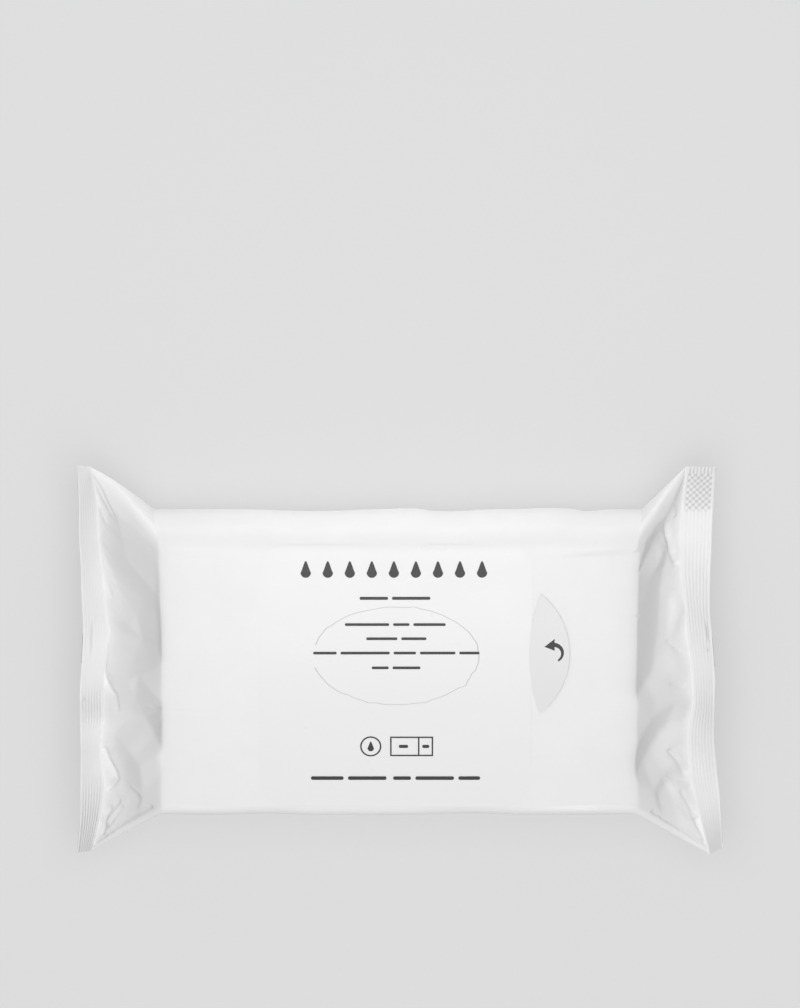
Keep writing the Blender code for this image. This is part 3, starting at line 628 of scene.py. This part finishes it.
def buildFilm():
    grid, pitShade, panelShade = filmGrid()
    for end, (passes, reach) in drawn["endRounding"].items():
        edge = int(np.argmin(np.abs(grid[:, 0, 0] - end * pack["stackHalf"])))
        rows = slice(edge - reach, edge + reach + 1)
        for _ in range(passes):
            part = grid[rows]
            part[1:-1, onTop] = (part[:-2, onTop] + 2 * part[1:-1, onTop] + part[2:, onTop]) / 4
    grid = grid * mm
    rows, columns = grid.shape[:2]
    bm = bmesh.new()
    bmesh.ops.create_grid(bm, x_segments=columns, y_segments=rows - 1, size=0.5)
    pitShadeLayer = bm.verts.layers.float.new("pitShade")
    panelShadeLayer = bm.verts.layers.float.new("panelShade")
    for vert in bm.verts:
        column = round((vert.co.x + 0.5) * columns) % columns
        row = round((vert.co.y + 0.5) * (rows - 1))
        vert.co = grid[row, column]
        vert[pitShadeLayer], vert[panelShadeLayer] = pitShade[row, column], panelShade[row, column]
    bmesh.ops.remove_doubles(bm, verts=bm.verts, dist=1e-6)
    bmesh.ops.recalc_face_normals(bm, faces=bm.faces)
    return finishPiece("packFilm", bm, filmSkin)


film = buildFilm()
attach(film, "root")
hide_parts("film_pack")
print("film faces", len(film.data.polygons))

print("stage: label")
# Reseal label of white polypropylene film over the opening, with a finger tab past its +X edge
label = {
    "middle": (-1.0, -0.3), "size": (100.0, 99.4), "corner": 10.0, "lift": 0.07, "thick": 0.06,
    "tabMiddle": 8.9, "tabHalf": 22.6, "tabChord": 52.0, "tabReach": 10.7, "tabInset": 4.1,
    "tabLift": 0.02, "tabThick": 0.02, "arcSteps": 28, "cornerSteps": 10, "step": 2.5,
    # the tab's grey is painted shade
    "white": "ECECEC", "tabShadeGrey": "E2E2E2", "roughness": (0.27, 0.35),
    "rippleSize": 14.0, "rippleDepth": 0.05,
}


def conform(bm, lift, thick, step):  # lays a flat shape on the crowned face and gives it a thickness
    for axis in (0, 1):
        reach = [v.co[axis] for v in bm.verts]
        for i in range(math.ceil(min(reach) / step), math.floor(max(reach) / step) + 1):
            plane, normal = Vector(), Vector()
            plane[axis], normal[axis] = i * step, 1.0
            geom = bm.verts[:] + bm.edges[:] + bm.faces[:]
            bmesh.ops.bisect_plane(bm, geom=geom, plane_co=plane, plane_no=normal)
    bmesh.ops.recalc_face_normals(bm, faces=bm.faces)
    if bm.faces[0].normal.z < 0:
        bmesh.ops.reverse_faces(bm, faces=bm.faces)
    for v in bm.verts:
        v.co.z = float(faceHeight(v.co.x, v.co.y)) + lift
    upper = bmesh.ops.extrude_face_region(bm, geom=bm.faces[:])["geom"]
    upper = [v for v in upper if isinstance(v, bmesh.types.BMVert)]
    bmesh.ops.translate(bm, verts=upper, vec=(0.0, 0.0, thick))
    bmesh.ops.recalc_face_normals(bm, faces=bm.faces)
    bmesh.ops.scale(bm, vec=(mm, mm, mm), verts=bm.verts)


def addArc(bm, first, centre, angle, steps):  # an open line turned about a centre, degrees
    start = bm.verts.new((*first, 0.0))
    bmesh.ops.spin(bm, geom=[start], cent=(*centre, 0.0), axis=(0.0, 0.0, 1.0),
                   angle=math.radians(angle), steps=steps)


def tabOutline(bm):  # the finger tab's lens
    half, reach, inset = label["tabHalf"], label["tabReach"], label["tabInset"]
    chord, middle = label["tabChord"], label["tabMiddle"]
    outer = (half**2 + reach**2) / (2 * reach)
    inner = (half**2 + inset**2) / (2 * inset)
    swing = math.degrees(math.asin(half / outer))
    addArc(bm, (chord, middle - half), (chord + reach - outer, middle), 2 * swing, label["arcSteps"])
    swing = math.degrees(math.asin(half / inner))
    addArc(bm, (chord, middle + half), (chord - inset + inner, middle), 2 * swing, label["arcSteps"])


def roundedPlate(bm, middle, size, corner, segments=6):
    plate = bmesh.ops.create_grid(bm, x_segments=1, y_segments=1, size=0.5)["verts"]
    bmesh.ops.scale(bm, vec=(*size, 1.0), verts=plate)
    bmesh.ops.translate(bm, vec=(*middle, 0.0), verts=plate)
    if corner:
        bmesh.ops.bevel(bm, geom=plate, offset=corner, affect="VERTICES", segments=segments, profile=0.5,
                        material=-1)


def labelMaterial(name, colour):
    # Biaxially drawn polypropylene: smoother than the pack's film, so a little glossier
    made, tree = newMaterial(name)
    at = addNode(tree, "ShaderNodeTexCoord").outputs["Object"]
    ripple = addNode(tree, "ShaderNodeTexNoise", {
        "Vector": at, "Scale": perMetre(label["rippleSize"]), "Detail": 2.0})
    smoothest, roughest = label["roughness"]
    rough = addNode(tree, "ShaderNodeMapRange", {
        "Value": ripple.outputs["Fac"], "From Min": 0.3, "From Max": 0.7,
        "To Min": smoothest, "To Max": roughest})
    bump = addNode(tree, "ShaderNodeBump", {
        "Height": ripple.outputs["Fac"], "Strength": 1.0, "Distance": label["rippleDepth"] * mm})
    shader = addNode(tree, "ShaderNodeBsdfPrincipled", {
        "Base Color": linear(colour), "Roughness": rough.outputs["Result"], "Normal": bump.outputs["Normal"]})
    addNode(tree, "ShaderNodeOutputMaterial", {"Surface": shader.outputs["BSDF"]})
    return made


def finishOnLabel(name, bm, material):  # the label and all that lies on it: sharp from 40 degrees, and riding on the root
    piece = finishPiece(name, bm, material, sharpFrom=40.0)
    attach(piece, "root")
    return piece


def buildLabel():
    bm = bmesh.new()
    roundedPlate(bm, label["middle"], label["size"], label["corner"], label["cornerSteps"])
    conform(bm, label["lift"], label["thick"], label["step"])
    sheet = finishOnLabel("resealSheet", bm, labelMaterial("polypropyleneLabel", label["white"]))
    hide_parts("reseal_label")
    bm = bmesh.new()
    tabOutline(bm)
    bmesh.ops.remove_doubles(bm, verts=bm.verts, dist=0.01)
    bmesh.ops.contextual_create(bm, geom=bm.edges[:])
    conform(bm, label["lift"] + label["thick"] + label["tabLift"], label["tabThick"], label["step"])
    # painted shade: the finger tab is drawn greyer than the label, for the shade of the lifted tab
    finishOnLabel("fingerTab", bm, labelMaterial("paintedShadeLabelTab", label["tabShadeGrey"]))


buildLabel()

print("stage: print")
# Flexographic ink on the label: plain drops, strips and frames, each in millimetres on the face
ink = {
    "lift": 0.18, "thick": 0.02, "step": 5.0,
    "charcoal": "2E2E2E", "roughness": (0.34, 0.52), "speckleSize": 0.9,
    "stripCorner": 0.45, "markHigh": 1.2, "markCorner": 0.5,
    "dropRow": {"y": 40.6, "from": -33.6, "to": 30.6, "count": 9, "radius": 1.9, "height": 6.2},
    "strips": (  # (y, height, (left, right), ...)
        (29.9, 1.1, (-14.0, -3.6), (-2.2, 11.8)),
        (20.1, 1.0, (-19.4, -3.2), (-1.8, 4.2), (5.6, 17.4)),
        (14.8, 1.0, (-11.6, -0.2), (1.2, 10.4)),
        (9.4, 1.0, (-31.0, -22.4), (-21.0, -3.0), (-1.6, 6.6), (8.0, 21.0), (22.4, 29.8)),
        (3.8, 1.0, (-9.6, -3.4), (-2.0, 8.2)),
        (-38.8, 1.4, (-32.0, -20.0), (-18.4, -4.2), (-1.8, 4.8), (6.4, 20.6), (22.2, 30.2)),
    ),
    "frame": {"middle": (5.0, -26.4), "size": (15.8, 7.6), "line": 0.55, "divider": 7.6},
    "frameMarks": ((2.0, 3.4), (10.2, 2.6)),  # (x, width), in the frame's two fields
    "ring": {"middle": (-10.0, -26.4), "radius": 3.9, "line": 0.55},
    "ringDrop": {"radius": 1.2, "height": 3.8},
    "arrow": {
        "centre": (56.9, 9.2), "radius": 3.2, "line": 1.65, "sweep": 150.0, "taper": 0.22,
        "head": ((0.3, 2.2), (-3.4, -0.7), (0.3, -2.2)),  # from the upper end of the band
    },
}


def inkMaterial(name, colour):  # dried ink film: dark, even, a little less glossy than the label
    made, tree = newMaterial(name)
    at = addNode(tree, "ShaderNodeTexCoord").outputs["Object"]
    speckle = addNode(tree, "ShaderNodeTexNoise", {
        "Vector": at, "Scale": perMetre(ink["speckleSize"]), "Detail": 2.0})
    smoothest, roughest = ink["roughness"]
    rough = addNode(tree, "ShaderNodeMapRange", {
        "Value": speckle.outputs["Fac"], "To Min": smoothest, "To Max": roughest})
    shader = addNode(tree, "ShaderNodeBsdfPrincipled", {
        "Base Color": linear(colour), "Roughness": rough.outputs["Result"]})
    addNode(tree, "ShaderNodeOutputMaterial", {"Surface": shader.outputs["BSDF"]})
    return made


def drawDrop(bm, x, y, radius, height):  # a round base drawn out to a point at +Y
    low = y - height / 2 + radius
    ring = bmesh.ops.create_circle(bm, cap_ends=True, segments=24, radius=radius,
                                   matrix=Matrix.Translation((x, low, 0.0)))["verts"]
    for v in ring:
        rise = (v.co.y - low) / radius
        if rise > 0:
            v.co.x = x + (v.co.x - x) * (1.0 - 0.45 * rise)
            v.co.y = low + (height - radius) * rise**1.6


def drawRing(bm, middle, radius, line, segments=48, squash=1.0):
    ring = bmesh.ops.create_circle(bm, cap_ends=True, segments=segments, radius=radius)["verts"]
    face = ring[0].link_faces[0]
    bmesh.ops.inset_individual(bm, faces=[face], thickness=line, use_even_offset=True)
    bmesh.ops.delete(bm, geom=[face], context="FACES")
    verts = [v for v in bm.verts if v.co.length < radius * 1.01]
    bmesh.ops.scale(bm, vec=(1.0, squash, 1.0), verts=verts)
    bmesh.ops.translate(bm, vec=(*middle, 0.0), verts=verts)


def buildPrint():
    bm = bmesh.new()
    ring = ink["ring"]
    drawRing(bm, ring["middle"], ring["radius"], ring["line"])
    row = ink["dropRow"]
    for x in np.linspace(row["from"], row["to"], row["count"]):
        drawDrop(bm, float(x), row["y"], row["radius"], row["height"])
    drawDrop(bm, *ring["middle"], ink["ringDrop"]["radius"], ink["ringDrop"]["height"])
    for y, height, *spans in ink["strips"]:
        for left, right in spans:
            roundedPlate(bm, ((left + right) / 2, y), (right - left, height), height * ink["stripCorner"], 3)
    box = ink["frame"]
    (x, y), (wide, high), line = box["middle"], box["size"], box["line"]
    for side in (-1, 1):
        roundedPlate(bm, (x, y + side * (high - line) / 2), (wide, line), 0.0)
        roundedPlate(bm, (x + side * (wide - line) / 2, y), (line, high - 2 * line), 0.0)
    roundedPlate(bm, (box["divider"], y), (line, high - 2 * line), 0.0)
    for markX, markWide in ink["frameMarks"]:
        roundedPlate(bm, (markX, y), (markWide, ink["markHigh"]), ink["markCorner"], 3)
    conform(bm, ink["lift"], ink["thick"], ink["step"])
    finishOnLabel("facePrint", bm, inkMaterial("flexoInk", ink["charcoal"]))


def buildArrow():  # the peel arrow on the tab: a band that tapers to its tail, and a head
    arrow = ink["arrow"]
    (x, y), radius, line = arrow["centre"], arrow["radius"], arrow["line"]
    bm = bmesh.new()
    base = [bm.verts.new((x, y + radius + side * line / 2, 0.0)) for side in (-1, 1)]
    edge = bm.edges.new(base)
    bmesh.ops.spin(bm, geom=[edge] + base, cent=(x, y, 0.0), axis=(0.0, 0.0, 1.0),
                   angle=-math.radians(arrow["sweep"]), steps=14)
    bmesh.ops.remove_doubles(bm, verts=bm.verts, dist=0.005)
    for v in bm.verts:
        away = Vector((v.co.x - x, v.co.y - y))
        turned = math.atan2(away.x, away.y)
        if turned > 0:
            away = away * ((radius + (away.length - radius) * (1.0 - arrow["taper"] * turned)) / away.length)
            v.co.x, v.co.y = x + away.x, y + away.y
    bm.faces.new([bm.verts.new((x + a, y + radius + b, 0.0)) for a, b in arrow["head"]])
    conform(bm, ink["lift"], ink["thick"], ink["step"])
    finishOnLabel("peelArrow", bm, inkMaterial("flexoInkArrow", ink["charcoal"]))


# The opening's cut line: its oval, open towards -X from the gap's angle on, its jags as (angle,
# millimetres outwards), and its wander
cut = {
    "middle": (-0.7, 8.2), "halfLength": 30.5, "halfWidth": 18.6, "line": 0.42, "thick": 0.02, "lift": 0.01,
    "steps": 150, "gapFrom": 2.93, "wander": 0.3, "wanderPace": 6.0, "grey": "CBCBCB", "jagReach": 0.05,
    "jags": ((-1.9, 0.5), (-1.2, 0.3), (-0.62, 0.9), (-0.38, -0.7), (1.35, 0.4), (2.55, 0.5), (-2.2, -0.4)),
}


def buildOpening():  # the kiss-cut edge of the tear-out flap, seen through the label
    bm = bmesh.new()
    squash = cut["halfWidth"] / cut["halfLength"]
    drawRing(bm, (0.0, 0.0), cut["halfLength"], cut["line"], cut["steps"], squash)
    for v in bm.verts:
        angle = math.atan2(v.co.y / cut["halfWidth"], v.co.x / cut["halfLength"])
        shift = sum(much * math.exp(-((angle - at) / cut["jagReach"]) ** 2) for at, much in cut["jags"])
        spot = Vector((math.cos(angle) * cut["wanderPace"], math.sin(angle) * cut["wanderPace"], 4.1))
        shift += cut["wander"] * noise.noise(spot)
        v.co.x *= 1.0 + shift / cut["halfLength"]
        v.co.y *= 1.0 + shift / cut["halfWidth"]
    middles = {face: face.calc_center_median() for face in bm.faces}
    gaps = [face for face, at in middles.items() if abs(math.atan2(at.y * 1.6, at.x)) > cut["gapFrom"]]
    bmesh.ops.delete(bm, geom=gaps, context="FACES")
    bmesh.ops.translate(bm, vec=(*cut["middle"], 0.0), verts=bm.verts)
    conform(bm, label["lift"] + label["thick"] + cut["lift"], cut["thick"], ink["step"])
    finishOnLabel("openingCut", bm, inkMaterial("kissCutEdge", cut["grey"]))


buildPrint()
buildArrow()
buildOpening()

print("stage: studio")
# The floor, the lamps and the camera, which stands 2 m off and 16 degrees towards +Y of straight above
studio = {
    "backdrop": "E1E1E1",
    "bounceGrey": ("E8E8E8", "6A6A6A"),  # the floor as the pack sees it, beside it and past its ends
    "bounceReach": (0.06, 0.13),  # metres along X
    "cardGlow": 1.15,  # a white card on the floor beside the pack's +Y side, which only lights it
    "cardFrom": (0.06, 0.10),
    "cardReach": (0.11, 0.17),
    "shadowFill": 0.64,
    "skyStrength": 0.5,
    "skySides": 2.5,  # how much brighter the sky is towards +Y and -Y than above. It is dark past both ends
    "boxAt": (0.0, 0.13, 0.7),
    "boxAim": (0.0, 0.0, 0.02),
    "boxSize": (0.5, 0.6),
    "boxWatts": 2.38,
    "distance": 2.0,
    "lean": 16.0,
    "lens": 193.2,
    "sensorHeight": 36.0,
    "pixelsHigh": 1008,
    "aimHeight": 0.0215,
    "offset": (2.0, 157.5),  # pixels from the picture's middle to the aim
}


def seenDirectly(tree):  # 1 for the camera and for what shows in gloss, else 0
    path = addNode(tree, "ShaderNodeLightPath")
    either = addNode(tree, "ShaderNodeMath", {
        0: path.outputs["Is Camera Ray"], 1: path.outputs["Is Glossy Ray"]}, operation="MAXIMUM")
    return either.outputs[0]


def buildStudio():
    # Matt painted board: an even pale grey with no gloss, darker and lit by the card where unseen
    bm = bmesh.new()
    bmesh.ops.create_grid(bm, x_segments=1, y_segments=1, size=4.0)
    made, tree = newMaterial("paintedFloor")
    seen = seenDirectly(tree)
    coords = addNode(tree, "ShaderNodeTexCoord")
    apart = addNode(tree, "ShaderNodeSeparateXYZ", {"Vector": coords.outputs["Object"]})
    aside = addNode(tree, "ShaderNodeMath", {0: apart.outputs["X"]}, operation="ABSOLUTE")
    near, far = studio["bounceReach"]
    past = addNode(tree, "ShaderNodeMapRange", {"Value": aside.outputs[0], "From Min": near, "From Max": far})
    beneath, beyond = studio["bounceGrey"]
    bounce = addNode(tree, "ShaderNodeMix", {
        0: past.outputs["Result"], 6: linear(beneath), 7: linear(beyond)}, data_type="RGBA")
    shade = addNode(tree, "ShaderNodeMix", {
        0: seen, 6: bounce.outputs[2], 7: linear(studio["backdrop"])}, data_type="RGBA")
    diffuse = addNode(tree, "ShaderNodeBsdfDiffuse", {"Color": shade.outputs[2]})
    start, full = studio["cardFrom"]
    beside = addNode(tree, "ShaderNodeMapRange", {
        "Value": apart.outputs["Y"], "From Min": start, "From Max": full})
    hidden = addNode(tree, "ShaderNodeMath", {0: 1.0, 1: seen}, operation="SUBTRACT")
    card = addNode(tree, "ShaderNodeMath", {
        0: beside.outputs["Result"], 1: hidden.outputs[0]}, operation="MULTIPLY")
    near, far = studio["cardReach"]
    inside = addNode(tree, "ShaderNodeMapRange", {
        "Value": aside.outputs[0], "From Min": far, "From Max": near})
    card = addNode(tree, "ShaderNodeMath", {0: card.outputs[0], 1: inside.outputs[0]}, operation="MULTIPLY")
    card = addNode(tree, "ShaderNodeMath", {0: card.outputs[0], 1: studio["cardGlow"]}, operation="MULTIPLY")
    white = addNode(tree, "ShaderNodeEmission", {"Strength": card.outputs[0]})
    flat = addNode(tree, "ShaderNodeAddShader", {0: diffuse.outputs[0], 1: white.outputs[0]})
    glow = addNode(tree, "ShaderNodeEmission", {"Color": linear(studio["backdrop"]), "Strength": 1.0})
    share = addNode(tree, "ShaderNodeMath", {0: seen, 1: studio["shadowFill"]}, operation="MULTIPLY")
    both = addNode(tree, "ShaderNodeMixShader", {
        "Fac": share.outputs[0], 1: flat.outputs[0], 2: glow.outputs[0]})
    addNode(tree, "ShaderNodeOutputMaterial", {"Surface": both.outputs[0]})
    floor = finishPiece("floor", bm, made, smooth=False)

    world = bpy.data.worlds.new("studioLight")
    bpy.context.scene.world = world
    world.use_nodes = True
    tree = world.node_tree
    tree.nodes.clear()
    coords = addNode(tree, "ShaderNodeTexCoord")
    apart = addNode(tree, "ShaderNodeSeparateXYZ", {"Vector": coords.outputs["Generated"]})
    y, z = apart.outputs["Y"], apart.outputs["Z"]
    over = addNode(tree, "ShaderNodeMath", {0: z, 1: z}, operation="MULTIPLY")
    side = addNode(tree, "ShaderNodeMath", {0: y, 1: y}, operation="MULTIPLY")
    band = addNode(tree, "ShaderNodeMath", {
        0: side.outputs[0], 1: studio["skySides"], 2: over.outputs[0]}, operation="MULTIPLY_ADD")
    glow = addNode(tree, "ShaderNodeMath", {
        0: band.outputs[0], 1: studio["skyStrength"]}, operation="MULTIPLY")
    sky = addNode(tree, "ShaderNodeBackground", {"Color": (1.0, 1.0, 1.0, 1.0), "Strength": glow.outputs[0]})
    back = addNode(tree, "ShaderNodeBackground", {"Color": linear(studio["backdrop"]), "Strength": 1.0})
    both = addNode(tree, "ShaderNodeMixShader", {
        "Fac": seenDirectly(tree), 1: sky.outputs[0], 2: back.outputs[0]})
    addNode(tree, "ShaderNodeOutputWorld", {"Surface": both.outputs[0]})

    lamp = bpy.data.lights.new("softBox", "AREA")
    lamp.shape = "RECTANGLE"
    lamp.size, lamp.size_y = studio["boxSize"]
    lamp.energy = studio["boxWatts"]
    box = bpy.data.objects.new("softBox", lamp)
    box.location = studio["boxAt"]
    aim = Vector(studio["boxAt"]) - Vector(studio["boxAim"])
    box.rotation_euler = aim.to_track_quat("Z", "Y").to_euler()
    bpy.context.scene.collection.objects.link(box)


def buildCamera():
    lean = math.radians(studio["lean"])
    focal = studio["lens"] / studio["sensorHeight"] * studio["pixelsHigh"]
    centre = Vector((0.0, 0.0, studio["aimHeight"]))
    away = Vector((0.0, math.sin(lean), math.cos(lean)))
    upright = Vector((0.0, math.cos(lean), -math.sin(lean)))
    aside, below = studio["offset"]
    forward = (-away + upright * (below / focal) + Vector((1, 0, 0)) * (aside / focal)).normalized()
    right = forward.cross(upright).normalized()
    up = right.cross(forward)
    data = bpy.data.cameras.new("photoCamera")
    data.lens = studio["lens"]
    data.sensor_fit = "VERTICAL"
    data.sensor_height = studio["sensorHeight"]
    data.clip_end = 50.0
    camera = bpy.data.objects.new("photoCamera", data)
    turned = Matrix((right, up, -forward)).transposed().to_4x4()
    camera.matrix_world = Matrix.Translation(centre + away * studio["distance"]) @ turned
    bpy.context.scene.collection.objects.link(camera)
    bpy.context.scene.camera = camera


buildStudio()
buildCamera()
bpy.context.scene.view_settings.view_transform = "Standard"
